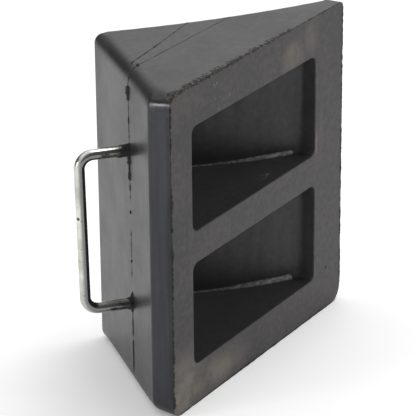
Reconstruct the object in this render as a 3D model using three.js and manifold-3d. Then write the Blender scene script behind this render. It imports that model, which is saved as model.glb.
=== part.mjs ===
// Moulded rubber wheel chock with a bent steel bar handle, stood on one of its triangular sides.
// Millimetres. X runs along the sole from the heel to the toe, Y away from the sole towards the
// ridge, and Z up across the chock's width. The origin is under the middle of the bounding box,
// on the surface that the chock stands on.

import * as THREE from 'three';
import { mergeVertices } from 'three/addons/utils/BufferGeometryUtils.js';
import Module from 'manifold-3d';

const wasm = await Module();
wasm.setup();

// Section of the wedge: a sole, an upright heel, the sloping back face, the ridge, the hollow
// wheel face and a blunt toe. It is drawn with the heel's foot at 0, 0.
const WIDTH = 250;
const SOLE_LENGTH = 247;
const HEEL_HEIGHT = 18.4;
const BACK_ANGLE = THREE.MathUtils.degToRad(49.9);
const BACK_LENGTH = 140;
const TOE_HEIGHT = 15.3;
const TOE_SETBACK = 2;
const WHEEL_FACE_HOLLOW = 7;
const EDGE_RADIUS = 5.5;
const UPPER_TOE_CORNER = 4;
const LOWER_TOE_CORNER = 13;
const BACK_FILLET = 10;
const WHEEL_FILLET = 5;

// Low ribs across the wheel face, counted from the toe.
const RIB_COUNT = 10;
const RIB_PITCH = 16.3;
const FIRST_RIB = 20.5;
const RIB_HEIGHT = 1.5;
const RIB_ROOT = 1;
const RIB_FOOT = 9;
const RIB_CROWN = 3;
const RIB_END = 3;

// Two pockets, open at the sole, with a rib between them.
const POCKET_START = 28;
const POCKET_END = 205;
const POCKET_WIDTH = 80.5;
const CENTRE_RIB = 25;
const TOE_WALL = 14;
const ROOF_ANGLE = THREE.MathUtils.degToRad(41.6);
const ROOF_HOLLOW = 6.5;
const ROOF_CORNER = 9;
const MOUTH_CORNER = 6;

// Handle: a round bar bent to a U, square to the back face, with a washer on each buried end.
const BAR_RADIUS = 4;
const HANDLE_UP_BACK = 48;
const HANDLE_MIDDLE = 129;
const LEG_SPACING = 121;
const UPPER_REACH = 37.8;
const LOWER_REACH = 35.8;
const BEND_RADIUS = 10;
const LEG_DEPTH = 25;
const WASHER_RADIUS = 11;
const WASHER_THICKNESS = 3;
const WASHER_DEPTH = 20;
const COLLAR_ROOT = 3;
const COLLAR_RADIUS = 5.5;
const UPPER_COLLAR = 8;
const LOWER_COLLAR = 3;

const GAP = 0.3;
const OVERSHOOT = 20;
const FAR = 2 * WIDTH;
const ARC_STEPS = 6;
const HOLLOW_STEPS = 12;
const FILLET_STEPS = 5;
const BAR_SIDES = 20;

const rubber = new THREE.MeshStandardMaterial({ color: 0x3b3b3d, roughness: 0.55, metalness: 0 });
const steel = new THREE.MeshStandardMaterial({ color: 0xb9b7ae, roughness: 0.35, metalness: 0.9 });

const vec = (x, y) => new THREE.Vector2(x, y);
const direction = (angle) => vec(Math.cos(angle), Math.sin(angle));
const upBack = direction(BACK_ANGLE);
const heelTop = vec(0, HEEL_HEIGHT);
const backPoint = (distance) => heelTop.clone().addScaledVector(upBack, distance);
const ridge = backPoint(BACK_LENGTH);
const toeTop = vec(SOLE_LENGTH - TOE_SETBACK, TOE_HEIGHT);

function toSolid(geometry) {
  const bare = geometry.clone();
  bare.deleteAttribute('normal');
  bare.deleteAttribute('uv');
  const merged = mergeVertices(bare, 1e-4);
  const mesh = new wasm.Mesh({
    numProp: 3,
    vertProperties: new Float32Array(merged.attributes.position.array),
    triVerts: new Uint32Array(merged.index.array),
  });
  return new wasm.Manifold(mesh);
}

function toGeometry(solid) {
  const mesh = solid.getMesh();
  const geometry = new THREE.BufferGeometry();
  geometry.setAttribute('position', new THREE.BufferAttribute(new Float32Array(mesh.vertProperties), 3));
  geometry.setIndex(new THREE.BufferAttribute(new Uint32Array(mesh.triVerts), 1));
  geometry.computeVertexNormals();
  return geometry;
}

// The arc that rounds the corner b between the lines a-b and b-c.
function roundedCorner(a, b, c, radius) {
  const toA = a.clone().sub(b).normalize();
  const toC = c.clone().sub(b).normalize();
  const half = Math.acos(toA.dot(toC)) / 2;
  const centre = toA.clone().add(toC).setLength(radius / Math.sin(half)).add(b);
  const start = toA.clone().setLength(radius / Math.tan(half)).add(b).sub(centre);
  const end = toC.clone().setLength(radius / Math.tan(half)).add(b).sub(centre);
  const sweep = Math.atan2(start.cross(end), start.dot(end));
  const origin = vec(0, 0);
  return Array.from({ length: ARC_STEPS + 1 }, (_, i) =>
    start.clone().rotateAround(origin, (sweep * i) / ARC_STEPS).add(centre));
}

// An outline from [point, radius] pairs: a corner is rounded to its radius, or sharp at 0.
function outline(corners) {
  return corners.flatMap(([point, radius], i) => {
    const before = corners.at(i - 1)[0];
    const after = corners[(i + 1) % corners.length][0];
    return radius > 0 ? roundedCorner(before, point, after, radius) : [point];
  });
}

// An outline in X and Y, carried up from one height to another. A fillet rounds both of its ends.
function prism(corners, low, high, fillet = 0) {
  const geometry = new THREE.ExtrudeGeometry(new THREE.Shape(outline(corners)), {
    depth: high - low - 2 * fillet,
    bevelEnabled: fillet > 0,
    bevelSize: fillet,
    bevelOffset: -fillet,
    bevelThickness: fillet,
    bevelSegments: FILLET_STEPS,
  });
  return toSolid(geometry.translate(0, 0, low + fillet));
}

// An outline in X and Z, carried through the whole height of the wedge from a level in Y.
function plan(corners, level) {
  const geometry = new THREE.ExtrudeGeometry(new THREE.Shape(outline(corners)), {
    depth: WIDTH,
    bevelEnabled: false,
  });
  return toSolid(geometry.rotateX(Math.PI / 2).translate(0, level + WIDTH, 0));
}

// A shallow hollow from one point to another, on the right-hand side of the line between them.
// It gives the point a fraction of the way along it and a height off its surface.
function hollowFace(from, to, depth) {
  const run = to.clone().sub(from);
  const off = vec(run.y, -run.x).normalize();
  return (fraction, height = 0) => {
    const t = 2 * fraction - 1;
    return from.clone().addScaledVector(run, fraction).addScaledVector(off, height - depth * (1 - t * t));
  };
}

const wheelFace = hollowFace(toeTop, ridge, WHEEL_FACE_HOLLOW);
const wheelLength = toeTop.distanceTo(ridge);

function innerPoints(face) {
  return Array.from({ length: HOLLOW_STEPS - 1 }, (_, i) => [face((i + 1) / HOLLOW_STEPS), 0]);
}

function rib(index) {
  const middle = FIRST_RIB + index * RIB_PITCH;
  const point = (distance, height) => [wheelFace(distance / wheelLength, height), 0];
  return prism(
    [
      point(middle - RIB_FOOT / 2, -RIB_ROOT),
      point(middle - RIB_CROWN / 2, RIB_HEIGHT),
      point(middle + RIB_CROWN / 2, RIB_HEIGHT),
      point(middle + RIB_FOOT / 2, -RIB_ROOT),
    ],
    RIB_END,
    WIDTH - RIB_END,
  );
}

// The wedge. The small fillet of its section rounds the triangular sides along the wheel face and
// the toe. A larger block shares only the heel and the back face, and rounds the sides there.
// Both run on past the sole, which is cut flat and sharp.
function wedge() {
  const section = prism(
    [
      [vec(0, -OVERSHOOT), 0],
      [vec(SOLE_LENGTH, -OVERSHOOT), 0],
      [vec(SOLE_LENGTH, 0), 0],
      [toeTop, EDGE_RADIUS],
      ...innerPoints(wheelFace),
      [ridge, EDGE_RADIUS],
      [heelTop, 0],
    ],
    0,
    WIDTH,
    WHEEL_FILLET,
  );
  const pastRidge = backPoint(FAR);
  const block = prism(
    [
      [vec(0, -FAR), 0],
      [vec(FAR, -FAR), 0],
      [vec(FAR, pastRidge.y), 0],
      [pastRidge, 0],
      [heelTop, 0],
    ],
    0,
    WIDTH,
    BACK_FILLET,
  );
  const footprint = plan(
    [
      [vec(-FAR, 0), 0],
      [vec(SOLE_LENGTH, 0), LOWER_TOE_CORNER],
      [vec(SOLE_LENGTH, WIDTH), UPPER_TOE_CORNER],
      [vec(-FAR, WIDTH), 0],
    ],
    0,
  );
  let solid = section.intersect(block).intersect(footprint);
  for (let i = 0; i < RIB_COUNT; i++) {
    solid = solid.add(rib(i));
  }
  return solid;
}

// A pocket between two heights. Its far wall runs parallel to the back face, its roof roughly
// follows the wheel face, and the corners of its mouth are rounded.
function pocket(low, high) {
  const roofLow = vec(POCKET_END, TOE_WALL);
  const roofRun = direction(Math.PI - ROOF_ANGLE);
  const start = vec(POCKET_START, 0);
  const wallLength = roofLow.clone().sub(start).cross(roofRun) / upBack.cross(roofRun);
  const top = start.clone().addScaledVector(upBack, wallLength);
  const roof = hollowFace(roofLow, top, ROOF_HOLLOW);
  const side = prism(
    [
      [vec(POCKET_START, -OVERSHOOT), 0],
      [vec(POCKET_END, -OVERSHOOT), 0],
      [roofLow, ROOF_CORNER],
      ...innerPoints(roof).slice(1, -1),
      [top, ROOF_CORNER],
      [start, 0],
    ],
    low,
    high,
  );
  const mouth = plan(
    [
      [vec(POCKET_START, low), MOUTH_CORNER],
      [vec(POCKET_END, low), MOUTH_CORNER],
      [vec(POCKET_END, high), MOUTH_CORNER],
      [vec(POCKET_START, high), MOUTH_CORNER],
    ],
    -OVERSHOOT,
  );
  return side.intersect(mouth);
}

// The handle's own frame: X square to the back face and outwards, Z up, origin on the back face.
const chock = new THREE.Group();
const handle = new THREE.Group();
handle.position.set(...backPoint(HANDLE_UP_BACK), 0);
handle.rotation.z = BACK_ANGLE + Math.PI / 2;
handle.updateMatrix();

const legs = {
  upper: { height: HANDLE_MIDDLE + LEG_SPACING / 2, reach: UPPER_REACH, collar: UPPER_COLLAR },
  lower: { height: HANDLE_MIDDLE - LEG_SPACING / 2, reach: LOWER_REACH, collar: LOWER_COLLAR },
};

// A round piece along a leg, from one distance off the back face to another.
function onLeg(radius, from, to, height) {
  const geometry = new THREE.CylinderGeometry(radius, radius, to - from, BAR_SIDES);
  return geometry.rotateZ(Math.PI / 2).translate((from + to) / 2, 0, height);
}

// The bar's centre line in the handle's XZ plane, with a station only where it starts, bends and
// ends. At each one the bar's section is square to the mean of the directions before and after.
class BarLine extends THREE.Curve {
  constructor(points) {
    super();
    this.stations = points.map(({ x, y }) => new THREE.Vector3(x, 0, y));
  }

  index(u) {
    return Math.round(u * (this.stations.length - 1));
  }

  getPointAt(u, target = new THREE.Vector3()) {
    return target.copy(this.stations[this.index(u)]);
  }

  getTangentAt(u, target = new THREE.Vector3()) {
    const i = this.index(u);
    const here = this.stations[i];
    const before = this.stations[i - 1] ?? here;
    const after = this.stations[i + 1] ?? here;
    const arriving = here.clone().sub(before).normalize();
    const leaving = after.clone().sub(here).normalize();
    return target.copy(arriving).add(leaving).normalize();
  }
}

function bar() {
  const { upper, lower } = legs;
  const corners = [
    vec(-LEG_DEPTH, upper.height),
    vec(upper.reach, upper.height),
    vec(lower.reach, lower.height),
    vec(-LEG_DEPTH, lower.height),
  ];
  const line = new BarLine([
    corners[0],
    ...roundedCorner(corners[0], corners[1], corners[2], BEND_RADIUS),
    ...roundedCorner(corners[1], corners[2], corners[3], BEND_RADIUS),
    corners[3],
  ]);
  const section = new THREE.Shape().absarc(0, 0, BAR_RADIUS, 0, 2 * Math.PI);
  return new THREE.ExtrudeGeometry(section, {
    extrudePath: line,
    steps: line.stations.length - 1,
    curveSegments: BAR_SIDES,
  });
}

function washer(height) {
  const disc = toSolid(onLeg(WASHER_RADIUS, -WASHER_DEPTH - WASHER_THICKNESS, -WASHER_DEPTH, height));
  const bore = toSolid(onLeg(BAR_RADIUS + GAP, -WASHER_DEPTH - OVERSHOOT, OVERSHOOT, height));
  return toGeometry(disc.subtract(bore));
}

// The rubber, with a short collar where each leg goes in, and room for the buried leg and washer.
function body() {
  const middle = WIDTH / 2;
  const inner = CENTRE_RIB / 2;
  const outer = inner + POCKET_WIDTH;
  let solid = wedge()
    .subtract(pocket(middle + inner, middle + outer))
    .subtract(pocket(middle - outer, middle - inner));
  const place = (geometry) => toSolid(geometry.applyMatrix4(handle.matrix));
  const washerBack = -WASHER_DEPTH - WASHER_THICKNESS - GAP;
  for (const { height, collar } of Object.values(legs)) {
    solid = solid
      .add(place(onLeg(COLLAR_RADIUS, -COLLAR_ROOT, collar, height)))
      .subtract(place(onLeg(BAR_RADIUS + GAP, -LEG_DEPTH - GAP, OVERSHOOT, height)))
      .subtract(place(onLeg(WASHER_RADIUS + GAP, washerBack, GAP - WASHER_DEPTH, height)));
  }
  return toGeometry(solid);
}

function named(name, geometry, material) {
  const mesh = new THREE.Mesh(geometry, material);
  mesh.name = name;
  return mesh;
}

chock.add(named('chock_body', body(), rubber));
handle.add(named('handle_bar', bar(), steel));
for (const [end, { height }] of Object.entries(legs)) {
  handle.add(named(`anchor_washer_${end}`, washer(height), steel));
}
chock.add(handle);

const box = new THREE.Box3().setFromObject(chock, true);
chock.position.set(-(box.min.x + box.max.x) / 2, -(box.min.y + box.max.y) / 2, -box.min.z);

export default chock;
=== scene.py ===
"""Looks of a moulded rubber wheel chock with a bent steel handle, stood on one triangular side.

Lengths are in millimetres and are turned into metres where a mesh is made. The section is drawn
in the heel's own frame: x runs along the sole from the foot of the heel to the toe, y away from
the sole, and z up across the width. Heel point 0, 0, 0 is the lowest corner of chock_body's box.
"""

import math
import random

import bmesh
import bpy
from mathutils import Matrix, Vector, noise


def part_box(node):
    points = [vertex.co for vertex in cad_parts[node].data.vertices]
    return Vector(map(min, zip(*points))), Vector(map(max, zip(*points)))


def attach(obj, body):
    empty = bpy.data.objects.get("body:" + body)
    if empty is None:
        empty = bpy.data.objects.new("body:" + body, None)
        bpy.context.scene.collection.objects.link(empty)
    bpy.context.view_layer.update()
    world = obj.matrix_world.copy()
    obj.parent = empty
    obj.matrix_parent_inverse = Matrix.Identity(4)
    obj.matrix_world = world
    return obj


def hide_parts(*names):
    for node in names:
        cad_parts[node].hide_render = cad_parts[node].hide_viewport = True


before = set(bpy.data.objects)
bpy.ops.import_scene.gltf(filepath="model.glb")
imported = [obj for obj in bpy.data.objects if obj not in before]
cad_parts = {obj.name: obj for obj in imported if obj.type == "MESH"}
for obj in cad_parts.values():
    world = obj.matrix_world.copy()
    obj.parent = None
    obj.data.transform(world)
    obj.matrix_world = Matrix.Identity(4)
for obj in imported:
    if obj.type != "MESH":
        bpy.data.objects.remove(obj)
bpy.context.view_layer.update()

MM = 0.001
HEEL_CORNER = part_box("chock_body")[0]

# Section and width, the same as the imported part's.
WIDTH = 250
SOLE_LENGTH = 247
HEEL_HEIGHT = 18.4
BACK_ANGLE = math.radians(49.9)
BACK_LENGTH = 140
TOE_HEIGHT = 15.3
TOE_SETBACK = 2
WHEEL_FACE_HOLLOW = 7
HEEL_EDGE = 4
EDGE_RADIUS = 5.5
BACK_FILLET = 10
HEEL_FILLET = 12
RIDGE_FILLET = 8
WHEEL_FILLET = 5
FOOT_FILLET = 9
UPPER_TOE_CORNER = 4
LOWER_TOE_CORNER = 13
FILLET_BLEND = 18

# Low ribs across the wheel face, counted from the toe.
RIB_COUNT = 10
RIB_PITCH = 16.3
FIRST_RIB = 20.5
RIB_HEIGHT = 1.5
RIB_WIDTH = 9
RIB_FLANK = 3
RIB_STEPS = 8

# Pockets, open at the sole.
POCKET_START = 28
POCKET_END = 205
POCKET_WIDTH = 80.5
CENTRE_RIB = 25
TOE_WALL = 14
ROOF_ANGLE = math.radians(41.6)
ROOF_HOLLOW = 6.5
ROOF_KEPT = 1 / 6
ROOF_CORNER = 9
MOUTH_CORNER = 6
JUNCTION_CORNER = 3
RIM_RADIUS = 0.8

# Handle.
BAR_RADIUS = 4
HANDLE_UP_BACK = 48
HANDLE_MIDDLE = 129
LEG_SPACING = 121
UPPER_REACH = 37.8
LOWER_REACH = 35.8
BEND_RADIUS = 10
LEG_DEPTH = 25
UPPER_COLLAR = 7.5
LOWER_COLLAR = 3

OVERSHOOT = 3
SUPPORT = 1.5


def flat(x, y):
    return Vector((x, y))


def toward(angle):
    return flat(math.cos(angle), math.sin(angle))


UP_BACK = toward(BACK_ANGLE)
BACK_OUT = flat(-UP_BACK.y, UP_BACK.x)
HEEL_TOP = flat(0, HEEL_HEIGHT)
RIDGE = HEEL_TOP + UP_BACK * BACK_LENGTH
TOE_TOP = flat(SOLE_LENGTH - TOE_SETBACK, TOE_HEIGHT)
HANDLE_FOOT = HEEL_TOP + UP_BACK * HANDLE_UP_BACK
WHEEL_LENGTH = (TOE_TOP - RIDGE).length


def place(x, y, z):
    """A point of the heel's frame in the row frame, in metres."""
    return HEEL_CORNER + Vector((x, y, z)) * MM


def smooth(value, low, high):
    """0 below low, 1 above high, and a smooth step between them."""
    t = min(max((value - low) / (high - low), 0), 1)
    return t * t * (3 - 2 * t)


# ---- camera ---------------------------------------------------------------------------------

VIEW_AZIMUTH = math.radians(-57.961)
VIEW_ELEVATION = math.radians(22.869)
VIEW_ROLL = math.radians(-0.553)
VIEW_POSITION = (-1.4766, -0.9346, 0.8444)
SENSOR_WIDTH = 36
FOCAL_LENGTH = 215.643
SHIFT_X = 0.01333
SHIFT_Y = 0.00671


def make_camera():
    data = bpy.data.cameras.new("camera")
    data.sensor_width = SENSOR_WIDTH
    data.lens = FOCAL_LENGTH
    data.shift_x = SHIFT_X
    data.shift_y = SHIFT_Y
    back = Vector((
        math.sin(VIEW_AZIMUTH) * math.cos(VIEW_ELEVATION),
        -math.cos(VIEW_AZIMUTH) * math.cos(VIEW_ELEVATION),
        math.sin(VIEW_ELEVATION),
    ))
    right = Vector((math.cos(VIEW_AZIMUTH), math.sin(VIEW_AZIMUTH), 0))
    turn = Matrix((right, back.cross(right), back)).transposed().to_4x4()
    camera = bpy.data.objects.new("camera", data)
    camera.matrix_world = Matrix.Translation(VIEW_POSITION) @ turn @ Matrix.Rotation(VIEW_ROLL, 4, "Z")
    bpy.context.scene.collection.objects.link(camera)
    bpy.context.scene.camera = camera


make_camera()


# ---- mesh helpers ---------------------------------------------------------------------------

SHARP_ANGLE = math.radians(34)
WELD = 1e-6


def rounded(a, b, c, radius, steps):
    """The arc that rounds the corner b between a-b and b-c, its centre, and half its sweep."""
    to_a = (a - b).normalized()
    to_c = (c - b).normalized()
    half = math.acos(to_a.dot(to_c)) / 2
    centre = b + (to_a + to_c).normalized() * (radius / math.sin(half))
    start = b + to_a * (radius / math.tan(half)) - centre
    end = b + to_c * (radius / math.tan(half)) - centre
    sweep = math.atan2(start.x * end.y - start.y * end.x, start.dot(end))
    points = []
    for i in range(steps + 1):
        angle = sweep * i / steps
        points.append(centre + Matrix.Rotation(angle, 2) @ start)
    return points, centre, abs(sweep) / 2


def hollow(start, end, depth):
    """Points of a shallow hollow on the right-hand side of a line, by fraction, and their normals."""
    run = end - start
    off = flat(run.y, -run.x).normalized()

    def at(fraction):
        t = 2 * fraction - 1
        return start + run * fraction - off * (depth * (1 - t * t))

    def normal(fraction):
        slope = 4 * depth * (2 * fraction - 1) / run.length
        return (off - run.normalized() * slope).normalized()

    return at, normal


def add_object(name, vertices, faces):
    """A mesh object from points of the heel's frame, with normals outwards and sharp edges marked."""
    mesh = bpy.data.meshes.new(name)
    mesh.from_pydata([place(*v) for v in vertices], [], faces)
    obj = bpy.data.objects.new(name, mesh)
    bpy.context.scene.collection.objects.link(obj)
    tidy_mesh(mesh)
    return obj


def tidy_mesh(mesh):
    work = bmesh.new()
    work.from_mesh(mesh)
    bmesh.ops.remove_doubles(work, verts=work.verts, dist=WELD)
    bmesh.ops.dissolve_degenerate(work, edges=work.edges, dist=WELD)
    bmesh.ops.recalc_face_normals(work, faces=work.faces)
    for face in work.faces:
        face.smooth = True
    for edge in work.edges:
        if len(edge.link_faces) == 2:
            edge.smooth = edge.calc_face_angle(0) < SHARP_ANGLE
    work.to_mesh(mesh)
    work.free()


def grid_faces(rows, columns, wrap=False):
    """Quads between the points of a grid, row after row. With wrap, each row is a closed ring."""
    faces = []
    for row in range(rows - 1):
        for column in range(columns if wrap else columns - 1):
            after = (column + 1) % columns
            low = row * columns
            high = low + columns
            faces.append((low + column, low + after, high + after, high + column))
    return faces


def cut(obj, cutters):
    """Cuts each cutter out of obj, then drops the cutters."""
    for cutter in cutters:
        modifier = obj.modifiers.new("cut", "BOOLEAN")
        modifier.operation = "DIFFERENCE"
        modifier.solver = "EXACT"
        modifier.object = cutter
    bpy.context.view_layer.update()
    shaped = bpy.data.meshes.new_from_object(obj.evaluated_get(bpy.context.evaluated_depsgraph_get()))
    obj.modifiers.clear()
    obj.data = shaped
    for cutter in cutters:
        bpy.data.objects.remove(cutter)
    tidy_mesh(obj.data)


# ---- wedge ----------------------------------------------------------------------------------

ARC_STEPS = 8
FILLET_RINGS = 8
WIDTH_STEPS = 14
BACK_STEPS = 14
HEEL_STEPS = 3
TOE_STEPS = 3
TOE_FILLET = 1
CORNER_ROOM = 4
CORNER_HEIGHTS = (0.6, 1.4, 2.4, 4, 6, 8.5, 12)


class Station:
    """A place on the section's outline: its point, normal, side fillet, rib height and corner."""

    def __init__(self, point, normal, fillet, lift=0.0, corner=None, foot=False):
        self.point = point
        self.normal = normal
        self.fillet = fillet
        self.lift = lift
        self.corner = corner
        self.foot = foot

    def inset(self, depth):
        """The point moved into the section. An arc tighter than the depth shrinks to its mitre."""
        if self.foot:
            return self.point - flat(depth / self.normal.x, 0)
        if self.corner is None:
            return self.point - self.normal * depth
        centre, radius, half, mitre = self.corner
        if depth <= radius:
            return centre + self.normal * (radius - depth)
        return centre - mitre * ((depth - radius) / math.cos(half))


def corner_stations(before, corner, after, radius, fillets):
    """Stations round a corner, whose side fillet goes from the first to the second of fillets."""
    points, centre, half = rounded(before, corner, after, radius, ARC_STEPS)
    mitre = (corner - centre).normalized()
    stations = []
    for i, point in enumerate(points):
        normal = (point - centre).normalized()
        fillet = fillets[0] + (fillets[1] - fillets[0]) * i / ARC_STEPS
        stations.append(Station(point, normal, fillet, corner=(centre, radius, half, mitre)))
    return stations


def straight_stations(start, end, steps, fillet):
    """Stations between two points, with neither end among them. fillet is a length, or a function
    of the point."""
    normal = flat(start.y - end.y, end.x - start.x).normalized()
    stations = []
    for i in range(steps):
        point = start.lerp(end, (i + 1) / (steps + 1))
        stations.append(Station(point, normal, fillet(point) if callable(fillet) else fillet))
    return stations


def heel_fillet(point):
    return FOOT_FILLET + (HEEL_FILLET - FOOT_FILLET) * smooth(point.y, 0, HEEL_HEIGHT)


def back_fillet(point):
    """The wide side fillet of the back face, which narrows from the heel to the ridge."""
    risen = (point - HEEL_TOP).length
    wide = HEEL_FILLET + (BACK_FILLET - HEEL_FILLET) * smooth(risen, 0, FILLET_BLEND)
    return wide + (RIDGE_FILLET - BACK_FILLET) * smooth(risen, BACK_LENGTH - FILLET_BLEND, BACK_LENGTH)


def rib_lift(distance):
    """Height of the ribs at a distance from the toe's top."""
    middles = [FIRST_RIB + i * RIB_PITCH for i in range(RIB_COUNT)]
    nearest = min(abs(distance - m) for m in middles)
    return RIB_HEIGHT * smooth(RIB_WIDTH / 2 - nearest, 0, RIB_FLANK)


def wheel_distances(first, last):
    """Distances from the toe's top to sample: close together over the ribs."""
    found = [first, last]
    for i in range(RIB_COUNT):
        middle = FIRST_RIB + i * RIB_PITCH
        found += [middle + RIB_WIDTH * (j / RIB_STEPS - 0.5) for j in range(RIB_STEPS + 1)]
        found.append(middle + RIB_PITCH / 2)
    return sorted((d for d in set(found) if first <= d <= last), reverse=True)


def wheel_stations(first, last):
    at, normal = hollow(TOE_TOP, RIDGE, WHEEL_FACE_HOLLOW)
    stations = []
    for distance in wheel_distances(first, last):
        fraction = distance / WHEEL_LENGTH
        stations.append(Station(at(fraction), normal(fraction), WHEEL_FILLET, rib_lift(distance)))
    return stations


def section_stations():
    """The outline from the heel's foot, up the back, over the ridge and down to the toe's foot."""
    foot = flat(0, 0)
    toe_foot = flat(SOLE_LENGTH, 0)
    at, _ = hollow(TOE_TOP, RIDGE, WHEEL_FACE_HOLLOW)
    step = 1 / (2 * RIB_COUNT)
    heel = corner_stations(foot, HEEL_TOP, RIDGE, HEEL_EDGE, (HEEL_FILLET, HEEL_FILLET))
    over = corner_stations(HEEL_TOP, RIDGE, at(1 - step), EDGE_RADIUS, (RIDGE_FILLET, RIDGE_FILLET))
    toe = corner_stations(at(step), TOE_TOP, toe_foot, EDGE_RADIUS, (WHEEL_FILLET, TOE_FILLET))
    toe_normal = flat(TOE_HEIGHT, TOE_SETBACK).normalized()
    heel_end = heel[0].point
    back_start = heel[-1].point + UP_BACK * CORNER_ROOM
    back_end = over[0].point
    stations = [Station(foot, flat(-1, 0), FOOT_FILLET, foot=True)]
    stations += straight_stations(foot, heel_end - flat(0, CORNER_ROOM), HEEL_STEPS, heel_fillet)
    stations += heel
    stations += straight_stations(back_start, back_end, BACK_STEPS, back_fillet)
    stations += over
    first = 2 * EDGE_RADIUS
    stations += wheel_stations(first, WHEEL_LENGTH - first)
    stations += toe
    stations += straight_stations(toe[-1].point, toe_foot, TOE_STEPS, TOE_FILLET)
    stations.append(Station(toe_foot, toe_normal, TOE_FILLET, foot=True))
    return stations


def toe_limit(height):
    """How far along the sole the toe reaches at a height, with its corners rounded in plan."""
    reach = SOLE_LENGTH
    for radius, left in ((LOWER_TOE_CORNER, height), (UPPER_TOE_CORNER, WIDTH - height)):
        if left < radius:
            reach -= radius - math.sqrt(radius**2 - (radius - left) ** 2)
    return reach


def ring_steps():
    """(fillet angle, height past the fillet, extra inset) for each ring, going up. Past the middle,
    heights are counted down from the top."""
    quarter = math.pi / 2
    arc = [quarter * (1 - i / FILLET_RINGS) for i in range(FILLET_RINGS + 1)]
    low = [(quarter, 0, SUPPORT)] + [(angle, 0, 0) for angle in arc]
    low += [(0, height, 0) for height in CORNER_HEIGHTS]
    middle = [(0, WIDTH * i / WIDTH_STEPS, 0) for i in range(2, WIDTH_STEPS - 1)]
    high = [(angle, -height, extra) for angle, height, extra in reversed(low)]
    return low, middle, high


def ring_point(station, angle, height, extra, part):
    depth = station.fillet * (1 - math.cos(angle)) + extra
    point = station.inset(depth) + station.normal * (station.lift * math.cos(angle) ** 2)
    edge = station.fillet * (1 - math.sin(angle))
    if part == "low":
        height = edge + height
    elif part == "high":
        height = WIDTH - edge + height
    x = min(point.x, toe_limit(height))
    return (x, point.y, height)


def make_wedge():
    stations = section_stations()
    parts = zip(("low", "middle", "high"), ring_steps())
    rings = [(*ring, part) for part, steps in parts for ring in steps]
    count = len(stations)
    vertices = [ring_point(s, *ring) for ring in rings for s in stations]
    faces = grid_faces(len(rings), count)
    last = (len(rings) - 1) * count
    faces.append(tuple(range(count)))
    faces.append(tuple(range(last + count - 1, last - 1, -1)))
    heel_side = [i * count for i in range(len(rings))]
    toe_side = [i * count + count - 1 for i in reversed(range(len(rings)))]
    faces.append(tuple(heel_side + toe_side))
    return add_object("moulded_wedge", vertices, faces)


# ---- pockets --------------------------------------------------------------------------------

RIM_STEPS = 4
ROOF_STEPS = 20
CORNER_STEPS = 6
EDGE_STEPS = 10
APEX_TRIM = 0.05


def pocket_corners():
    """The two ends of a pocket's roof: over the toe wall, and where it meets the far wall."""
    roof_low = flat(POCKET_END, TOE_WALL)
    roof_run = toward(math.pi - ROOF_ANGLE)
    start = flat(POCKET_START, 0)
    gap = roof_low - start
    slant = UP_BACK.x * roof_run.y - UP_BACK.y * roof_run.x
    length = (gap.x * roof_run.y - gap.y * roof_run.x) / slant
    return roof_low, start + UP_BACK * length


def pocket_sides():
    """The pocket's section as two lines going up from its mouth: the far wall and the roof."""
    start = flat(POCKET_START, 0)
    roof_low, top = pocket_corners()
    at, _ = hollow(roof_low, top, ROOF_HOLLOW)
    kept = 1 - 2 * ROOF_KEPT
    roof = [at(ROOF_KEPT + kept * i / ROOF_STEPS) for i in range(ROOF_STEPS + 1)]
    toe_arc, _, _ = rounded(flat(POCKET_END, 0), roof_low, roof[0], ROOF_CORNER, CORNER_STEPS)
    top_arc, _, _ = rounded(roof[-1], top, start, ROOF_CORNER, 2 * CORNER_STEPS)
    apex = max(range(len(top_arc)), key=lambda i: top_arc[i].y)
    wall = [flat(POCKET_START, -OVERSHOOT), start] + list(reversed(top_arc[apex:]))
    front = [flat(POCKET_END, -OVERSHOOT)] + toe_arc + roof + top_arc[: apex + 1]
    return wall, front


def across(line, level):
    """Where a line of points going up crosses a level."""
    for a, b in zip(line, line[1:]):
        if a.y <= level <= b.y and b.y > a.y:
            return a.lerp(b, (level - a.y) / (b.y - a.y)).x
    return line[-1].x


def pocket_levels(front):
    rim = [RIM_RADIUS * (1 - math.cos(math.pi / 2 * i / RIM_STEPS)) for i in range(RIM_STEPS + 1)]
    levels = [-OVERSHOOT] + rim + [p.y for p in front[1:-1]] + [front[-1].y - APEX_TRIM]
    return sorted(set(levels))


def level_ring(x_low, x_high, z_low, z_high, radius):
    """A rounded rectangle, as points that go round it. Each side has its own even steps."""
    ring = []
    corners = [
        (x_high - radius, z_high - radius, 0),
        (x_low + radius, z_high - radius, 1),
        (x_low + radius, z_low + radius, 2),
        (x_high - radius, z_low + radius, 3),
    ]
    for index, (x, z, quarter) in enumerate(corners):
        for i in range(CORNER_STEPS + 1):
            angle = math.pi / 2 * (quarter + i / CORNER_STEPS)
            ring.append(flat(x + radius * math.cos(angle), z + radius * math.sin(angle)))
        after = corners[(index + 1) % 4]
        angle = math.pi / 2 * after[2]
        goal = flat(after[0] + radius * math.cos(angle), after[1] + radius * math.sin(angle))
        last = ring[-1].copy()
        ring += [last.lerp(goal, i / EDGE_STEPS) for i in range(1, EDGE_STEPS)]
    return ring


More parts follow.
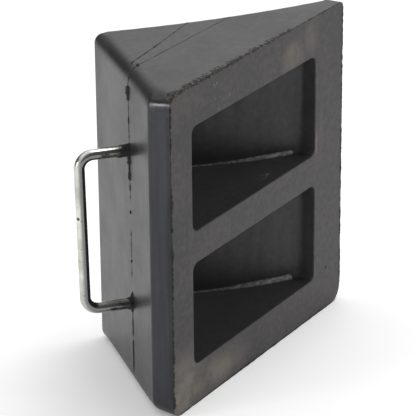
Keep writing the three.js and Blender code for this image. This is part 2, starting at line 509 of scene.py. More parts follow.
def make_pocket(low, high):
    wall, front = pocket_sides()
    levels = pocket_levels(front)
    vertices = []
    for level in levels:
        inside = min(max(level, 0), RIM_RADIUS)
        flare = RIM_RADIUS - math.sqrt(RIM_RADIUS**2 - (RIM_RADIUS - inside) ** 2)
        x_low = across(wall, max(level, 0)) - flare
        x_high = across(front, level) + flare
        tight = smooth(level, TOE_WALL / 2, 2 * TOE_WALL)
        radius = MOUTH_CORNER + (JUNCTION_CORNER - MOUTH_CORNER) * tight
        radius = min(radius + flare, 0.49 * (x_high - x_low))
        ring = level_ring(x_low, x_high, low - flare, high + flare, radius)
        vertices += [(p.x, level, p.y) for p in ring]
    count = len(vertices) // len(levels)
    faces = grid_faces(len(levels), count, wrap=True)
    faces.append(tuple(range(count)))
    faces.append(tuple(range(len(vertices) - 1, len(vertices) - count - 1, -1)))
    return add_object("pocket_cutter", vertices, faces)


# ---- handle ---------------------------------------------------------------------------------

BAR_SIDES = 40
BEND_STEPS = 14
BAR_STEP = 3
BAR_UNEVENNESS = 0.06


def off_back(out, along, height):
    """A heel point at a distance off the back face and along it from the handle's foot."""
    point = HANDLE_FOOT + BACK_OUT * out + UP_BACK * along
    return Vector((point.x, point.y, height))


def bar_line():
    """The bar's centre line, as (distance off the back face, height)."""
    upper = HANDLE_MIDDLE + LEG_SPACING / 2
    lower = HANDLE_MIDDLE - LEG_SPACING / 2
    corners = [
        flat(-LEG_DEPTH, upper),
        flat(UPPER_REACH, upper),
        flat(LOWER_REACH, lower),
        flat(-LEG_DEPTH, lower),
    ]
    first = rounded(*corners[:3], BEND_RADIUS, BEND_STEPS)[0]
    second = rounded(*corners[1:], BEND_RADIUS, BEND_STEPS)[0]
    line = [corners[0]]
    for part in (first, second, [corners[3]]):
        steps = max(1, round((part[0] - line[-1]).length / BAR_STEP))
        start = line[-1]
        line += [start.lerp(part[0], i / steps) for i in range(1, steps)]
        line += part
    return line


def make_bar():
    line = bar_line()
    vertices = []
    for i, point in enumerate(line):
        before = line[max(i - 1, 0)]
        after = line[min(i + 1, len(line) - 1)]
        run = (after - before).normalized()
        side = flat(-run.y, run.x)
        for j in range(BAR_SIDES):
            angle = 2 * math.pi * j / BAR_SIDES
            spot = Vector((point.x * 0.05, point.y * 0.05, 0.4 * math.cos(angle)))
            radius = BAR_RADIUS + BAR_UNEVENNESS * noise.noise(spot)
            shift = side * (radius * math.cos(angle))
            vertices.append(off_back(point.x + shift.x, radius * math.sin(angle), point.y + shift.y))
    faces = grid_faces(len(line), BAR_SIDES, wrap=True)
    faces.append(tuple(range(BAR_SIDES)))
    faces.append(tuple(range(len(vertices) - 1, len(vertices) - BAR_SIDES - 1, -1)))
    return add_object("bar_handle", vertices, faces)


# ---- torn rubber, flash and beads -----------------------------------------------------------

STRIP_SINK = 0.3
STRIP_STEP = 0.8
STRIP_ARC = [math.radians(angle) for angle in (-60, -30, 0, 30, 60)]
COLLAR_SIDES = 36


def wander(place_along, seed, length):
    """A smooth random value from about -1 to 1, which changes over a length."""
    return noise.noise(Vector((place_along / length, seed * 7.3, 0.5))) * 1.8


class Strips:
    """Thin raised strips of rubber that follow lines on the surface, gathered in one mesh."""

    def __init__(self):
        self.vertices = []
        self.faces = []

    def add(self, path, width, height):
        """path is a list of (point, normal). width and height depend on the distance along it."""
        first = len(self.vertices)
        along = 0
        for i, (point, normal) in enumerate(path):
            before = path[max(i - 1, 0)][0]
            after = path[min(i + 1, len(path) - 1)][0]
            if i > 0:
                along += (point - before).length
            side = (after - before).cross(normal).normalized() * (width(along) / 2)
            top = normal * height(along)
            sink = normal * STRIP_SINK
            arc = [point + side * math.sin(angle) + top * math.cos(angle) for angle in STRIP_ARC]
            ring = [point - side - sink, *arc, point + side - sink]
            self.vertices += [tuple(p) for p in ring]
        count = len(STRIP_ARC) + 2
        grid = grid_faces(len(path), count, wrap=True)
        self.faces += [tuple(first + i for i in face) for face in grid]
        self.faces.append(tuple(range(first, first + count)))
        self.faces.append(tuple(reversed(range(len(self.vertices) - count, len(self.vertices)))))

    def make(self, name):
        return add_object(name, self.vertices, self.faces)


def run_between(start, end, normal):
    """Evenly spaced (point, normal) from start to end."""
    start, end, normal = Vector(start), Vector(end), Vector(normal).normalized()
    steps = max(2, round((end - start).length / STRIP_STEP))
    return [(start.lerp(end, i / steps), normal) for i in range(steps + 1)]


# Lumps on the parting line of the back face: (height, extra width, half length).
PARTING_LUMPS = (
    (235.5, 3.4, 3.6),
    (230.5, 2.4, 3.8),
    (212, 0.7, 4),
    (182, 3.0, 4),
    (176, 1.6, 5),
    (169, 2.2, 4),
    (160, 0.7, 3),
    (141, 1.4, 1.3),
    (102, 1.4, 1.3),
    (69, 2.8, 9.5),
    (48, 0.7, 9),
    (26, 0.9, 15),
)
PARTING_START = 10
PARTING_WIDTH = 0.45
PARTING_HEIGHT = 0.2
GAP_DEPTH = 0.35
BARE_LUMP = 0.4
LUMP_HEIGHT = 0.5
SEAM_END = 170
UPPER_SEAM = ((45.6, 61.8), (92.9, 67.6), (143.5, 75.5))
SEAM_LUMP = ((4.5, 1.9), (1.2, 2.2), (2.6, 1.6))


def lump(height):
    """How much wider the parting flash is at a height."""
    return sum(size * (1 - smooth(abs(height - z), reach / 2, reach)) for z, size, reach in PARTING_LUMPS)


def parting_path():
    """Up the back face at the handle's level, then over the side fillet to the upper side."""
    path = run_between(
        (HANDLE_FOOT.x, HANDLE_FOOT.y, PARTING_START),
        (HANDLE_FOOT.x, HANDLE_FOOT.y, WIDTH - BACK_FILLET),
        (BACK_OUT.x, BACK_OUT.y, 0),
    )
    steps = 2 * FILLET_RINGS
    for i in range(1, steps + 1):
        angle = math.pi / 2 * i / steps
        inset = BACK_FILLET * (1 - math.cos(angle))
        point = HANDLE_FOOT - BACK_OUT * inset + UP_BACK * (inset * BACK_OUT.y / UP_BACK.y)
        height = WIDTH - BACK_FILLET * (1 - math.sin(angle))
        out = BACK_OUT * math.cos(angle)
        path.append((Vector((point.x, point.y, height)), Vector((out.x, out.y, math.sin(angle)))))
    return path


def make_parting_flash():
    strips = Strips()

    def back_width(along):
        ragged = max(0.4, 1 + 0.6 * wander(along, 1, 1.6))
        wider = lump(along + PARTING_START) * (1 + 0.3 * wander(along, 2, 1))
        return PARTING_WIDTH * ragged + wider

    def back_height(along):
        """Low, and sunk into the face where the line fades out."""
        height = along + PARTING_START
        faded = smooth(wander(along, 2, 9), -0.5, 0.1) if height < HANDLE_MIDDLE + LEG_SPACING / 2 else 1
        ragged = max(0.3, 1 + 0.8 * wander(along, 3, 2))
        bare = lump(height) < BARE_LUMP
        return PARTING_HEIGHT * ragged + LUMP_HEIGHT * lump(height) - GAP_DEPTH * (1 - faded) * bare

    path = parting_path()
    strips.add(path, back_width, back_height)
    up = (0, 0, 1)
    end = path[-1][0]

    def seam(heavy, seed):
        return (
            lambda along: heavy * max(0.4, 1 + 0.5 * wander(along, seed, 4)),
            lambda along: 0.4 * heavy * max(0.25, 1 + 0.7 * wander(along, seed + 1, 3)),
        )

    strips.add(run_between(end, (SEAM_END, HANDLE_FOOT.y, WIDTH), up), *seam(0.4, 31))
    for i, (a, b) in enumerate(zip(UPPER_SEAM, UPPER_SEAM[1:])):
        strips.add(run_between((*a, WIDTH), (*b, WIDTH), up), *seam(0.75 - 0.3 * i, 33 + 2 * i))
    for x, y in SEAM_LUMP:
        strips.add(
            run_between(end - Vector((x * 0.3, y * 0.5, 0)), end + Vector((x, y, 0)), up),
            lambda along: 1.1 * (1 - smooth(along, 1, 5)),
            lambda along: 0.7,
        )
    return strips.make("parting_flash")


LOW_FLASH = 0.7
LOW_EDGE = 1.1 * LOW_FLASH
THINNEST_FLASH = 0.15
EDGE_LEAN = 0.6
TOE_LEAN = 0.4


def make_sole_flash():
    """Torn flash along the sole's edges, heaviest along the heel and the upper edge."""
    inset = FOOT_FILLET
    far = SOLE_LENGTH - UPPER_TOE_CORNER
    middle = far / 2
    heel = run_between((0, 0, inset), (0, 0, WIDTH - inset), (-1, -EDGE_LEAN, 0))
    for i in range(1, FILLET_RINGS):
        angle = math.pi / 2 * i / FILLET_RINGS
        out = Vector((-math.cos(angle), 0, math.sin(angle)))
        spot = Vector((inset, 0, WIDTH - inset)) + out * inset
        heel.append((spot, (out + Vector((0, -EDGE_LEAN, 0))).normalized()))
    upper_near = run_between((inset, 0, WIDTH), (middle, 0, WIDTH), (0, -EDGE_LEAN, 1))
    upper_far = run_between((middle, 0, WIDTH), (far, 0, WIDTH), (0, -EDGE_LEAN, 1))
    low_far = SOLE_LENGTH - LOWER_TOE_CORNER
    low = run_between((inset, 0, LOW_EDGE), (low_far, 0, LOW_EDGE), (0, -1, 0))
    toe_foot = (SOLE_LENGTH, 0, LOWER_TOE_CORNER)
    toe = run_between(toe_foot, (SOLE_LENGTH, 0, WIDTH - UPPER_TOE_CORNER), (1, -TOE_LEAN, 0))

    def torn(size, seed, length):
        def at(along):
            ragged = 0.7 + 0.7 * wander(along, seed, length) + 0.6 * wander(along, seed + 0.5, 1.3)
            return size * max(THINNEST_FLASH, ragged)

        return at

    strips = Strips()
    strips.add(heel, torn(1.7, 5, 5), torn(0.6, 6, 3))
    strips.add(upper_near, torn(1.0, 7, 3), torn(0.5, 8, 2))
    strips.add(low, torn(LOW_FLASH, 14, 6), torn(0.4, 15, 4))
    strips.add(upper_far, torn(0.7, 9, 4), torn(0.3, 10, 3))
    strips.add(toe, torn(0.8, 11, 4), torn(0.22, 12, 3))
    return strips.make("sole_flash")


BEAD_FROM = 0.045
BEAD_TO = 0.8
BEAD_RADIUS = 2.7
BEAD_CREST = 1.9
BEAD_STEPS = 170


def make_pocket_bead(name, low, seed, wrinkle, thick):
    """The bead along the corner between a pocket's roof and its lower wall, wrinkled near the toe."""
    roof_low, top = pocket_corners()
    at, normal = hollow(roof_low, top, ROOF_HOLLOW)
    path = []
    tuck = JUNCTION_CORNER * (1 - math.sqrt(0.5))
    for i in range(BEAD_STEPS + 1):
        fraction = BEAD_FROM + (BEAD_TO - BEAD_FROM) * i / BEAD_STEPS
        inward = -normal(fraction)
        point = at(fraction) + inward * tuck
        out = Vector((inward.x, inward.y, 1)).normalized()
        path.append((Vector((point.x, point.y, low + tuck)), out))
    length = (top - roof_low).length * (BEAD_TO - BEAD_FROM)

    def size(along):
        share = along / length
        taper = 1 - 0.7 * smooth(share, 0.2, 0.8)
        start = smooth(along, -0.8, 2)
        return taper * start * (1 + wrinkle * taper * wander(along, seed, 3))

    strips = Strips()
    strips.add(path, lambda s: 2 * BEAD_RADIUS * thick * size(s), lambda s: BEAD_CREST * thick * size(s))
    return strips.make(name)


# Sections of a collar: (share of its reach, thickness over the bar, raggedness along the bar).
COLLAR_PROFILE = (
    (-0.12, 1.3, 0),
    (0.05, 0.9, 0),
    (0.3, 0.6, 0.05),
    (0.6, 0.65, 0.12),
    (0.85, 0.55, 0.25),
    (1.0, 0.3, 0.34),
    (0.97, 0.02, 0.3),
    (-0.12, 0.02, 0),
)
COLLAR_ROUGHNESS = 0.9
COLLAR_TEAR = 2.4


def make_collar(name, height, reach, seed):
    """Rubber torn round a leg: a low flare on the back face, and a ragged lip out along the bar."""
    vertices = []
    for share, thickness, ragged in COLLAR_PROFILE:
        for j in range(COLLAR_SIDES):
            angle = 2 * math.pi * j / COLLAR_SIDES
            turn = Vector((math.cos(angle), math.sin(angle), seed))
            rough = noise.noise(turn * 1.9 + Vector((0, 0, share * 3)))
            torn = 1 + COLLAR_TEAR * ragged * noise.noise(turn * 2.7)
            radius = BAR_RADIUS + thickness * (1 + COLLAR_ROUGHNESS * rough)
            along = radius * math.cos(angle)
            spot = off_back(share * reach * torn, along, height + radius * math.sin(angle))
            vertices.append(tuple(spot))
    rows = len(COLLAR_PROFILE)
    faces = grid_faces(rows, COLLAR_SIDES, wrap=True)
    last = (rows - 1) * COLLAR_SIDES
    for j in range(COLLAR_SIDES):
        after = (j + 1) % COLLAR_SIDES
        faces.append((last + j, last + after, after, j))
    return add_object(name, vertices, faces)


FIBRE_SEED = 4
FIBRES = 260
FIBRE_START = 3
FIBRE_END = 165
FIBRE_WIDTH = 0.3
FIBRE_HEIGHT = 0.16


def upper_edge(x):
    """Height of the sole's upper edge, which is rounded off at the heel."""
    short = max(FOOT_FILLET - x, 0)
    return WIDTH - FOOT_FILLET + math.sqrt(FOOT_FILLET**2 - short**2)


def make_frayed_edge():
    """Short torn fibres along the sole's upper edge, close together near the heel."""
    chance = random.Random(FIBRE_SEED)
    strips = Strips()
    for _ in range(FIBRES):
        x = FIBRE_START + FIBRE_END * chance.random() ** 1.7
        shorter = 1.1 - x / (2 * FIBRE_END)
        lean = chance.uniform(-1.8, 1.8)
        across_top = chance.uniform(0.3, 6) * shorter
        down_sole = chance.uniform(0.2, 2.6) * shorter
        lift = chance.uniform(0.0, 0.5)
        before, after = x - lean, x + lean
        on_top = Vector((before, across_top, upper_edge(max(before, 0))))
        over_edge = Vector((x, -lift / 2, upper_edge(x) + lift / 2))
        on_sole = Vector((after, 0, upper_edge(max(after, 0)) - down_sole))
        path = [
            (on_top, Vector((0, 0, 1))),
            (over_edge, Vector((0, -1, 1)).normalized()),
            (on_sole, Vector((0, -1, 0))),
        ]
        wide = FIBRE_WIDTH * chance.uniform(0.6, 1.5)
        strips.add(path, lambda along: wide, lambda along: FIBRE_HEIGHT)
    return strips.make("frayed_edge")


PIT = (224.5, 35)
PIT_RADIUS = 1.3
PIT_SUBDIVISIONS = 3


def make_pit_cutter():
    """A small round hole in the sole, left by a bubble in the rubber."""
    work = bmesh.new()
    bmesh.ops.create_icosphere(work, subdivisions=PIT_SUBDIVISIONS, radius=PIT_RADIUS * MM)
    bmesh.ops.translate(work, verts=work.verts, vec=place(PIT[0], -PIT_RADIUS / 4, PIT[1]))
    mesh = bpy.data.meshes.new("pit_cutter")
    work.to_mesh(mesh)
    work.free()
    cutter = bpy.data.objects.new("pit_cutter", mesh)
    bpy.context.scene.collection.objects.link(cutter)
    return cutter


# ---- materials ------------------------------------------------------------------------------


class Nodes:
    """A short way to write nodes. A material's positions are in metres, in the row frame."""

    def __init__(self, owner, shader="Principled BSDF", coordinates="Object"):
        owner.use_nodes = True
        self.owner = owner
        self.tree = owner.node_tree
        self.shader = self.tree.nodes[shader]
        self.place = self.add("ShaderNodeTexCoord").outputs[coordinates]

    def add(self, kind, **values):
        node = self.tree.nodes.new(kind)
        for key, value in values.items():
            setattr(node, key, value)
        return node

    def link(self, output, socket):
        self.tree.links.new(output, socket)

    def feed(self, value, socket):
        """Puts a number, a tuple or another node's output into a socket."""
        if isinstance(value, bpy.types.NodeSocket):
            self.link(value, socket)
        else:
            socket.default_value = value

    def stretched(self, scale):
        node = self.add("ShaderNodeMapping")
        self.link(self.place, node.inputs["Vector"])
        node.inputs["Scale"].default_value = scale
        return node.outputs["Vector"]

    def noise(self, scale, detail=4, roughness=0.55, vector=None):
        node = self.add("ShaderNodeTexNoise")
        node.inputs["Scale"].default_value = scale
        node.inputs["Detail"].default_value = detail
        node.inputs["Roughness"].default_value = roughness
        self.link(vector or self.place, node.inputs["Vector"])
        return node.outputs["Fac"]

    def cells(self, scale):
        """Distance to the nearest of many scattered points."""
        node = self.add("ShaderNodeTexVoronoi")
        node.inputs["Scale"].default_value = scale
        self.link(self.place, node.inputs["Vector"])
        return node.outputs["Distance"]

    def vectors(self, operation, vector, other=(0, 0, 0), result="Vector"):
        node = self.add("ShaderNodeVectorMath", operation=operation)
        self.link(vector, node.inputs[0])
        node.inputs[1].default_value = other
        return node.outputs[result]

    def dot(self, vector, direction):
        return self.vectors("DOT_PRODUCT", vector, direction, "Value")

    def facing(self, direction):
        """How far the surface faces a fixed direction of the row frame."""
        return self.dot(self.add("ShaderNodeNewGeometry").outputs["Normal"], direction)

    def range(self, value, low, high, to_low=0.0, to_high=1.0):
        node = self.add("ShaderNodeMapRange", interpolation_type="SMOOTHSTEP")
        self.link(value, node.inputs["Value"])
        node.inputs["From Min"].default_value = low
        node.inputs["From Max"].default_value = high
        node.inputs["To Min"].default_value = to_low
        node.inputs["To Max"].default_value = to_high
        return node.outputs["Result"]

    def math(self, operation, a, b):
        node = self.add("ShaderNodeMath", operation=operation)
        self.feed(a, node.inputs[0])
        self.feed(b, node.inputs[1])
        return node.outputs["Value"]

    def axis(self, name):
        node = self.add("ShaderNodeSeparateXYZ")
        self.link(self.place, node.inputs["Vector"])
        return node.outputs[name]

    def mix(self, factor, a, b):
        node = self.add("ShaderNodeMixRGB")
        self.feed(factor, node.inputs["Fac"])
        self.feed(a, node.inputs["Color1"])
        self.feed(b, node.inputs["Color2"])
        return node.outputs["Color"]

    def patch(self, centre, reach, soft):
        """1 inside an ellipsoid and 0 outside, faded over its outer share, soft."""
        shifted = self.vectors("SUBTRACT", self.place, place(*centre))
        shrunk = self.vectors("DIVIDE", shifted, Vector(reach) * MM)
        return self.range(self.vectors("LENGTH", shrunk, result="Value"), 1 - soft, 1, 1, 0)

    def bump(self, height, strength, distance, before=None):
        node = self.add("ShaderNodeBump")
        node.inputs["Strength"].default_value = strength
        node.inputs["Distance"].default_value = distance
        self.link(height, node.inputs["Height"])
        if before is not None:
            self.link(before, node.inputs["Normal"])
        return node.outputs["Normal"]

    def dress(self, colour, roughness, normal):
        """Feeds the shader, and gives the material back."""
        for name, value in (("Base Color", colour), ("Roughness", roughness), ("Normal", normal)):
            self.link(value, self.shader.inputs[name])
        return self.owner


RUBBER_DARK = (0.021, 0.0205, 0.021, 1)
RUBBER_GREY = (0.030, 0.029, 0.0295, 1)
HEEL_BLUE = (0.020, 0.021, 0.028, 1)
SOLE_DARK = (0.0125, 0.0115, 0.012, 1)
SOLE_GREY = (0.037, 0.029, 0.0315, 1)
DUST = (0.19, 0.168, 0.145, 1)
SPECK = (0.38, 0.365, 0.33, 1)
# Painted light: the pockets paler than the skin, and deep in their upward walls paler still.
POCKET_PAINTED_FILL_DARK = (0.048, 0.047, 0.0475, 1)
POCKET_PAINTED_FILL_PALE = (0.060, 0.0585, 0.059, 1)
DEEP_PAINTED_FILL = (0.21, 0.208, 0.209, 1)
PAINTED_FILL_DEPTH = 75
RUBBER_IOR = 1.5
SHEEN = 0.38
SOLE_DULLER = 0.03
POCKET_DULLER = 0.1
STAIN_ROUGHER = 0.3
POLISH = 0.2

# Depths that tell one surface from another.
SKIN = 0.15
SKIN_FADE = 0.4
POCKET_COVER = 10

# Dusty stains on the sole: (centre, reach, strength), in the heel's frame.
SOLE_STAINS = (
    ((14, 0, 14), (44, 9, 50), 1.1),
    ((62, 0, 14), (56, 9, 20), 0.9),
    ((171, 0, 226), (22, 9, 20), 1),
    ((198, 0, 236), (16, 9, 20), 0.55),
    ((207.5, 0, 146), (2.6, 9, 17), 1),
    ((214, 0, 150), (7, 9, 30), 0.2),
    ((20, 0, 238), (45, 9, 16), 0.16),
)

# Other patches, as (centre, reach), and how softly each kind of patch fades out.
SCUFF = ((145, 11.5, 137.5), (13, 4, 3))
SPECKLED = ((48, 0, 228), (50, 9, 20))
POLISHED = ((0, HEEL_HEIGHT / 2, WIDTH - HEEL_FILLET / 2), (13, 12, 13))
STAIN_FADE = 0.9
SCUFF_FADE = 0.7
SPECK_FADE = 0.4
POLISH_FADE = 0.9


def on_face(n, axis):
    """1 on the heel face, for X, or on the sole, for Y, and 0 away from it."""
    level = {"X": HEEL_CORNER.x, "Y": HEEL_CORNER.y}[axis]
    return n.range(n.axis(axis), level + SKIN * MM, level + SKIN_FADE * MM, 1, 0)


def in_pockets(n):
    """1 on the pockets' surfaces, which are the only ones this far in from the faces round them."""
    inside = n.range(n.axis("Y"), HEEL_CORNER.y + SKIN * MM, HEEL_CORNER.y + 2 * SKIN_FADE * MM)
    wheel_out = flat(RIDGE.y - TOE_TOP.y, TOE_TOP.x - RIDGE.x).normalized()
    for outward, on_plane in ((BACK_OUT, HEEL_TOP), (wheel_out, TOE_TOP)):
        out = Vector((outward.x, outward.y, 0))
        level = place(*(on_plane - outward * POCKET_COVER), 0).dot(out)
        inside = n.math("MULTIPLY", inside, n.range(n.dot(n.place, out), level, level + MM, 1, 0))
    outer_wall = (WIDTH - 2 * POCKET_WIDTH - CENTRE_RIB) / 2
    off_middle = n.math("ABSOLUTE", n.math("SUBTRACT", n.axis("Z"), WIDTH / 2 * MM), 0)
    reach = (WIDTH - outer_wall) / 2 * MM
    return n.math("MULTIPLY", inside, n.range(off_middle, reach, reach + MM, 1, 0))


def sole_dust(n):
    """How dusty the sole is: its stains, broken up by a blotchy noise."""
    dusty = None
    for centre, reach, strength in SOLE_STAINS:
        stain = n.math("MULTIPLY", n.patch(centre, reach, STAIN_FADE), strength)
        dusty = stain if dusty is None else n.math("MAXIMUM", dusty, stain)
    blotchy = n.noise(70, detail=6, roughness=0.65)
    return n.math("MULTIPLY", dusty, n.range(blotchy, 0.3, 0.6, 0.35, 0.9))


class RubberSkin:
    """Semi-gloss black rubber. Its pockets are painted paler: painted light, in place of the light that
    scatters inside them.
    """

    def __init__(self):
        n = Nodes(bpy.data.materials.new("moulded_rubber"))
        self.nodes = n
        self.cloudy = n.noise(22, detail=5)
        self.mottled = n.noise(210, detail=6, roughness=0.62)
        self.wiped = n.noise(1, detail=5, vector=n.stretched((190, 190, 17)))
        tone = n.math("ADD", n.math("MULTIPLY", self.cloudy, 0.4), n.math("MULTIPLY", self.mottled, 0.6))
        self.tone = n.range(tone, 0.38, 0.62)
        self.sole = on_face(n, "Y")
        self.pocketed = in_pockets(n)
        # The pockets' upward walls, which are painted paler deep in: painted light.
        self.painted_pocket_floors = n.math("MULTIPLY", n.range(n.facing((0, 0, 1)), 0.7, 0.95), self.pocketed)
        self.stained = n.math("MULTIPLY", sole_dust(n), self.sole)

    def mould_colour(self):
        """The bare skin, bluer on the heel face, with painted light that makes the pockets paler, and a
        scuff in one.
        """
        n = self.nodes
        colour = n.mix(self.tone, RUBBER_DARK, RUBBER_GREY)
        colour = n.mix(n.range(self.wiped, 0.5, 0.72, 0, 0.4), colour, SOLE_GREY)
        # Painted light: paler pockets, paler still deep in on their upward walls, against their shade.
        colour = n.mix(self.pocketed, colour, n.mix(self.tone, POCKET_PAINTED_FILL_DARK, POCKET_PAINTED_FILL_PALE))
        deep = n.range(n.axis("Y"), HEEL_CORNER.y, HEEL_CORNER.y + PAINTED_FILL_DEPTH * MM)
        colour = n.mix(self.painted_pocket_floors, colour, n.mix(deep, RUBBER_GREY, DEEP_PAINTED_FILL))
        scuffed = n.math("MULTIPLY", n.patch(*SCUFF, SCUFF_FADE), n.range(self.mottled, 0.42, 0.6))
        colour = n.mix(scuffed, colour, DUST)
        return n.mix(on_face(n, "X"), colour, HEEL_BLUE)

    def colour(self):
        """The skin's colour, with the sole's own tone, stains and pale specks."""
        n = self.nodes
        colour = n.mix(self.sole, self.mould_colour(), n.mix(self.tone, SOLE_DARK, SOLE_GREY))
        colour = n.mix(self.stained, colour, DUST)
        dots = n.range(n.cells(330), 0.09, 0.15, 1, 0)
        scattered = n.math("MULTIPLY", dots, n.range(self.mottled, 0.52, 0.58))
        near_edge = n.math("MULTIPLY", self.sole, n.patch(*SPECKLED, SPECK_FADE))
        return n.mix(n.math("MULTIPLY", scattered, near_edge), colour, SPECK)

    def sheen(self):
        n = self.nodes
        bare = n.math("SUBTRACT", 1.0, self.sole)
        streaks = n.math("MULTIPLY", n.range(self.wiped, 0.35, 0.68, 0.045, -0.045), bare)
        sheen = n.math("ADD", n.range(self.mottled, 0.36, 0.64, -0.012, 0.012), streaks)
        sheen = n.math("ADD", n.math("ADD", sheen, n.range(self.cloudy, 0.35, 0.65, -0.03, 0.03)), SHEEN)
        sheen = n.math("SUBTRACT", sheen, n.math("MULTIPLY", self.sole, SOLE_DULLER))
        for zone in (self.pocketed, self.painted_pocket_floors):
            sheen = n.math("SUBTRACT", sheen, n.math("MULTIPLY", zone, POCKET_DULLER))
        return sheen

    def roughness(self):
        n = self.nodes
        rough = n.range(self.cloudy, 0.3, 0.75, 0.32, 0.44)
        rough = n.math("ADD", rough, n.math("MULTIPLY", self.stained, STAIN_ROUGHER))
        return n.math("SUBTRACT", rough, n.math("MULTIPLY", n.patch(*POLISHED, POLISH_FADE), POLISH))

    def relief(self):
        n = self.nodes
        soft = n.bump(self.cloudy, 0.15, 0.0006)
        dimpled = n.bump(self.mottled, 0.07, 0.0005, soft)
        return n.bump(n.noise(1100, detail=3), 0.14, 0.0002, dimpled)


def rubber_material():
    skin = RubberSkin()
    n = skin.nodes
    n.link(skin.sheen(), n.shader.inputs["Specular IOR Level"])
    n.shader.inputs["IOR"].default_value = RUBBER_IOR
    return n.dress(skin.colour(), skin.roughness(), skin.relief())


TORN_BLACK = (0.006, 0.006, 0.006, 1)
TORN_GREY = (0.022, 0.021, 0.02, 1)
FIBRE_BLACK = (0.010, 0.009, 0.008, 1)
FIBRE_BROWN = (0.085, 0.070, 0.054, 1)
FIBRE_PALE = (0.24, 0.22, 0.19, 1)
# Pale greys of the pockets' beads: a painted highlight.
BEAD_PAINTED_HIGHLIGHT_GREY = (0.22, 0.22, 0.235, 1)
BEAD_PAINTED_HIGHLIGHT_PALE = (0.42, 0.42, 0.45, 1)


def torn_material():
    """Flash and torn edges, darker and rougher than the skin."""
    n = Nodes(bpy.data.materials.new("torn_rubber"))
    patchy = n.noise(260, detail=4)
    colour = n.mix(n.range(patchy, 0.45, 0.7), TORN_BLACK, TORN_GREY)
    return n.dress(colour, n.range(patchy, 0.3, 0.7, 0.6, 0.85), n.bump(n.noise(1500), 0.4, 0.0003))


def frayed_material():
    """Fibres at the torn edge: brown, pale and black, from one fibre to the next."""
    n = Nodes(bpy.data.materials.new("frayed_rubber"))
    patchy = n.noise(420, detail=2)
    paler = n.noise(300, detail=2, vector=n.stretched((1, 1.3, 1.7)))
    colour = n.mix(n.range(patchy, 0.42, 0.58), FIBRE_BLACK, FIBRE_BROWN)
    colour = n.mix(n.range(paler, 0.58, 0.68), colour, FIBRE_PALE)
    return n.dress(colour, n.range(patchy, 0.3, 0.7, 0.6, 0.85), n.bump(n.noise(1800), 0.3, 0.0002))


def bead_material():
    """The shiny bead in the corner of a pocket, pale grey: a painted highlight along it."""
    n = Nodes(bpy.data.materials.new("bead_rubber"))
    patchy = n.noise(300, detail=4)
    colour = n.mix(n.range(patchy, 0.45, 0.65), BEAD_PAINTED_HIGHLIGHT_GREY, BEAD_PAINTED_HIGHLIGHT_PALE)
    return n.dress(colour, n.range(patchy, 0.3, 0.7, 0.22, 0.4), n.bump(n.noise(900), 0.12, 0.0003))


STEEL_PALE = (0.70, 0.70, 0.655, 1)
STEEL_DULL = (0.47, 0.465, 0.41, 1)
# Painted dark reflection, put on the side of the bar that faces the ground in use.
STEEL_PAINTED_DARK_REFLECTION = (0.2, 0.2, 0.196, 1)
STEEL_MARK = (0.04, 0.038, 0.033, 1)

# Rubbed-in dirt on the handle: (out from the back face, up along it, height, reach along the bar).
LEG_MARKS = (
    (19, -3.9, HANDLE_MIDDLE + LEG_SPACING / 2 - 0.3, 4.6),
    (15.5, -3.9, HANDLE_MIDDLE - LEG_SPACING / 2 - 0.9, 3.8),
)
GRIP_NICK = (40.1, -2.3, 142, 1.7)
MARK_HEIGHT = 1.6
MARK_FADE = 0.5


def bar_marks(n, ragged):
    marks = None
    for out, up, height, reach in (*LEG_MARKS, GRIP_NICK):
        spot = off_back(out, up, height)
        mark = n.patch((spot.x, spot.y, spot.z), (reach, reach, MARK_HEIGHT), MARK_FADE)
        marks = mark if marks is None else n.math("MAXIMUM", marks, mark)
    return n.math("MULTIPLY", marks, n.range(ragged, 0.25, 0.42))


def steel_material():
    """Bright plating, with a painted dark reflection on the side that faces the ground in use."""
    n = Nodes(bpy.data.materials.new("zinc_plated_steel"))
    cloudy = n.noise(60, detail=5)
    drawn = n.noise(1, detail=4, vector=n.stretched((1400, 1400, 90)))
    streaky = n.noise(1, detail=5, vector=n.stretched((420, 420, 45)))
    spotty = n.noise(420, detail=3)
    colour = n.mix(n.range(cloudy, 0.35, 0.65), STEEL_PALE, STEEL_DULL)
    colour = n.mix(n.range(streaky, 0.5, 0.72, 0, 0.45), colour, STEEL_DULL)
    # Painted dark reflection on the side that faces the ground in use.
    colour = n.mix(n.range(n.facing((0, -1, 0)), 0.2, 0.75), colour, STEEL_PAINTED_DARK_REFLECTION)
    colour = n.mix(n.range(spotty, 0.63, 0.72, 0, 0.6), colour, STEEL_MARK)
    colour = n.mix(bar_marks(n, spotty), colour, STEEL_MARK)
    n.shader.inputs["Metallic"].default_value = 1.0
    relief = n.bump(drawn, 0.1, 0.0002, n.bump(n.noise(240), 0.12, 0.0003))
    return n.dress(colour, n.range(cloudy, 0.3, 0.75, 0.17, 0.3), relief)


WHITE = (1, 1, 1, 1)
FLOOR_COLOUR = (0.92, 0.92, 0.92, 1)
FLOOR_GLOW = 0.16


def floor_material():
    """A pale table, lit a little from below."""
    n = Nodes(bpy.data.materials.new("pale_floor"))
    sockets = n.shader.inputs
    sockets["Base Color"].default_value = FLOOR_COLOUR
    sockets["Roughness"].default_value = 0.9
    sockets["Specular IOR Level"].default_value = 0.1
    sockets["Emission Color"].default_value = WHITE
    sockets["Emission Strength"].default_value = FLOOR_GLOW
    return n.owner


# ---- studio ---------------------------------------------------------------------------------

FLOOR_HALF = 8.0
SKY_LIGHT = 1.0
SOFTBOX_DISTANCE = 1.9
BACK_BOX = ((-0.842, 0.489, 0.233), 0.46, 12)
TOP_BOX = ((0.2, -0.15, 0.97), 0.8, 6)

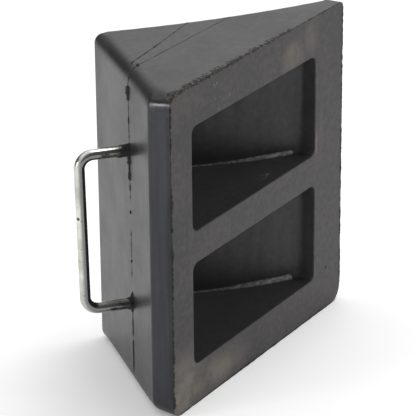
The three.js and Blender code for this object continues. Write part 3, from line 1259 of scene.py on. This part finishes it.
# Dim sides of the surround: (direction, cosines of its outer and inner edge, upper and lower fade,
# darkness).
DIM_SIDES = (
    ((-0.3, 0.95, 0), (0.24, 0.68), (0.7, 0.35), 0.96),
    ((-0.36, -0.93, 0.35), (0.42, 0.72), (0.96, 0.85), 0.75),
)


def make_floor():
    mesh = bpy.data.meshes.new("floor")
    corners = [(x, y, 0) for x, y in ((-1, -1), (1, -1), (1, 1), (-1, 1))]
    mesh.from_pydata([Vector(c) * FLOOR_HALF for c in corners], [], [(0, 1, 2, 3)])
    floor = bpy.data.objects.new("floor", mesh)
    bpy.context.scene.collection.objects.link(floor)
    mesh.materials.append(floor_material())


def make_softbox(name, toward_light, size, radiance):
    data = bpy.data.lights.new(name, "AREA")
    data.size = size
    data.energy = radiance * math.pi * size * size
    light = bpy.data.objects.new(name, data)
    away = Vector(toward_light).normalized()
    light.location = away * SOFTBOX_DISTANCE
    light.rotation_euler = away.to_track_quat("Z", "Y").to_euler()
    bpy.context.scene.collection.objects.link(light)


def make_world():
    """An even white surround. To reflections and light it has dim sides, low round the object."""
    n = Nodes(bpy.data.worlds.new("studio"), "Background", "Generated")
    height = n.axis("Z")
    strength = None
    for direction, (outer, inner), (above, below), darkness in DIM_SIDES:
        near = n.range(n.dot(n.place, Vector(direction).normalized()), outer, inner)
        low = n.range(height, below, above, 1, 0)
        kept = n.range(n.math("MULTIPLY", near, low), 0, 1, 1, 1 - darkness)
        strength = kept if strength is None else n.math("MULTIPLY", strength, kept)
    shown = n.add("ShaderNodeMix")
    n.link(n.add("ShaderNodeLightPath").outputs["Is Camera Ray"], shown.inputs["Factor"])
    n.link(strength, shown.inputs["A"])
    shown.inputs["B"].default_value = SKY_LIGHT
    n.link(shown.outputs["Result"], n.shader.inputs["Strength"])
    n.shader.inputs["Color"].default_value = WHITE
    bpy.context.scene.world = n.owner
    bpy.context.scene.view_settings.view_transform = "Standard"


# ---- making ---------------------------------------------------------------------------------


def finish_piece(obj, material, slot, *nodes):
    obj.data.materials.clear()
    obj.data.materials.append(material)
    weighted = obj.modifiers.new("flat_faces_stay_flat", "WEIGHTED_NORMAL")
    weighted.keep_sharp = True
    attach(obj, "root")
    if nodes:
        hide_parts(*nodes)


# The bead in each pocket: (seed, wrinkle, thickness).
UPPER_BEAD = (21, 0.02, 0.75)
LOWER_BEAD = (22, 0.1, 1)
UPPER_COLLAR_SEED = 3
LOWER_COLLAR_SEED = 8


def build():
    rubber = rubber_material()
    torn = torn_material()
    bead = bead_material()
    steel = steel_material()
    wedge = make_wedge()
    inner = CENTRE_RIB / 2
    outer = inner + POCKET_WIDTH
    middle = WIDTH / 2
    upper = middle + inner
    lower = middle - outer
    cut(wedge, [make_pocket(upper, middle + outer), make_pocket(lower, middle - inner), make_pit_cutter()])
    finish_piece(wedge, rubber, "moulded_rubber", "chock_body")
    half = LEG_SPACING / 2
    upper_leg = HANDLE_MIDDLE + half
    lower_leg = HANDLE_MIDDLE - half
    for piece, material in (
        (make_parting_flash(), torn),
        (make_sole_flash(), torn),
        (make_pocket_bead("upper_pocket_bead", upper, *UPPER_BEAD), bead),
        (make_pocket_bead("lower_pocket_bead", lower, *LOWER_BEAD), bead),
        (make_frayed_edge(), frayed_material()),
        (make_collar("upper_collar", upper_leg, UPPER_COLLAR, UPPER_COLLAR_SEED), torn),
        (make_collar("lower_collar", lower_leg, LOWER_COLLAR, LOWER_COLLAR_SEED), torn),
    ):
        finish_piece(piece, material, "moulded_rubber")
    finish_piece(make_bar(), steel, "zinc_plated_steel", "handle_bar")
    for name in ("anchor_washer_upper", "anchor_washer_lower"):
        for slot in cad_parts[name].material_slots:
            slot.material = steel


build()
make_floor()
make_softbox("back_softbox", *BACK_BOX)
make_softbox("top_softbox", *TOP_BOX)
make_world()
